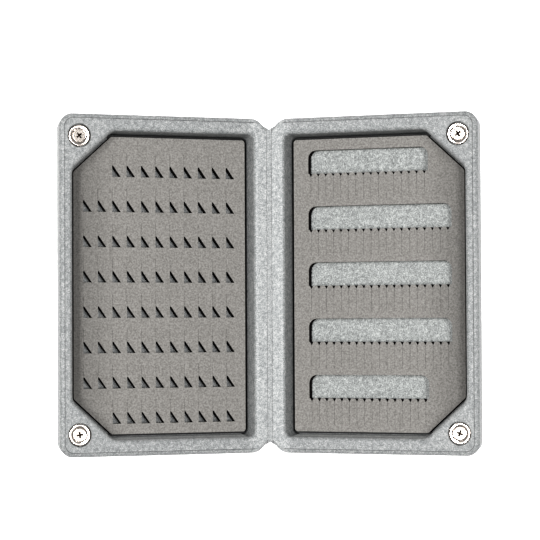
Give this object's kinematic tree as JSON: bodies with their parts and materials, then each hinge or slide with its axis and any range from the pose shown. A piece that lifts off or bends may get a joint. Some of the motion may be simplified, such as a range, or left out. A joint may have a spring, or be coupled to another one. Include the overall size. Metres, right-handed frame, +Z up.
{
  "type": "fly box",
  "caption": "Slim fishing fly box of moulded foam: two trays on a bending strip, a foam sheet with triangular holes, one with toothed windows, magnet corners.",
  "frame": {"origin": "On the table, under the middle of the hinge, with the box standing open in a V", "axes": "+X across the open box towards the window tray, +Y along the hinge towards the rear, +Z up"},
  "size_m": [0.1986, 0.16, 0.0483],
  "materials": {
    "shell_foam": "matte mottled grey moulded foam",
    "insert_foam": "matte warm grey fine foam",
    "magnet_nickel": "bright nickel plate",
    "screw_steel": "nickel-plated steel",
    "anchor_nylon": "natural nylon"
  },
  "bodies": {
    "left_tray": {"left_shell": "shell_foam", "slit_insert": "insert_foam", "hinge_web": "shell_foam", "magnet_left_rear": "magnet_nickel", "screw_left_rear": "screw_steel", "anchor_left_rear": "anchor_nylon", "magnet_left_front": "magnet_nickel", "screw_left_front": "screw_steel", "anchor_left_front": "anchor_nylon"},
    "right_tray": {"right_shell": "shell_foam", "window_insert": "insert_foam", "magnet_right_rear": "magnet_nickel", "screw_right_rear": "screw_steel", "anchor_right_rear": "anchor_nylon", "magnet_right_front": "magnet_nickel", "screw_right_front": "screw_steel", "anchor_right_front": "anchor_nylon"}
  },
  "joints": [
    {"name": "hinge", "type": "hinge", "parent": "left_tray", "child": "right_tray", "pos_m": [0, 0, 0.01351], "axis": [0, -1, 0], "range_deg": [-40.8, 139.2], "deforming": ["hinge_web"]}
  ]
}
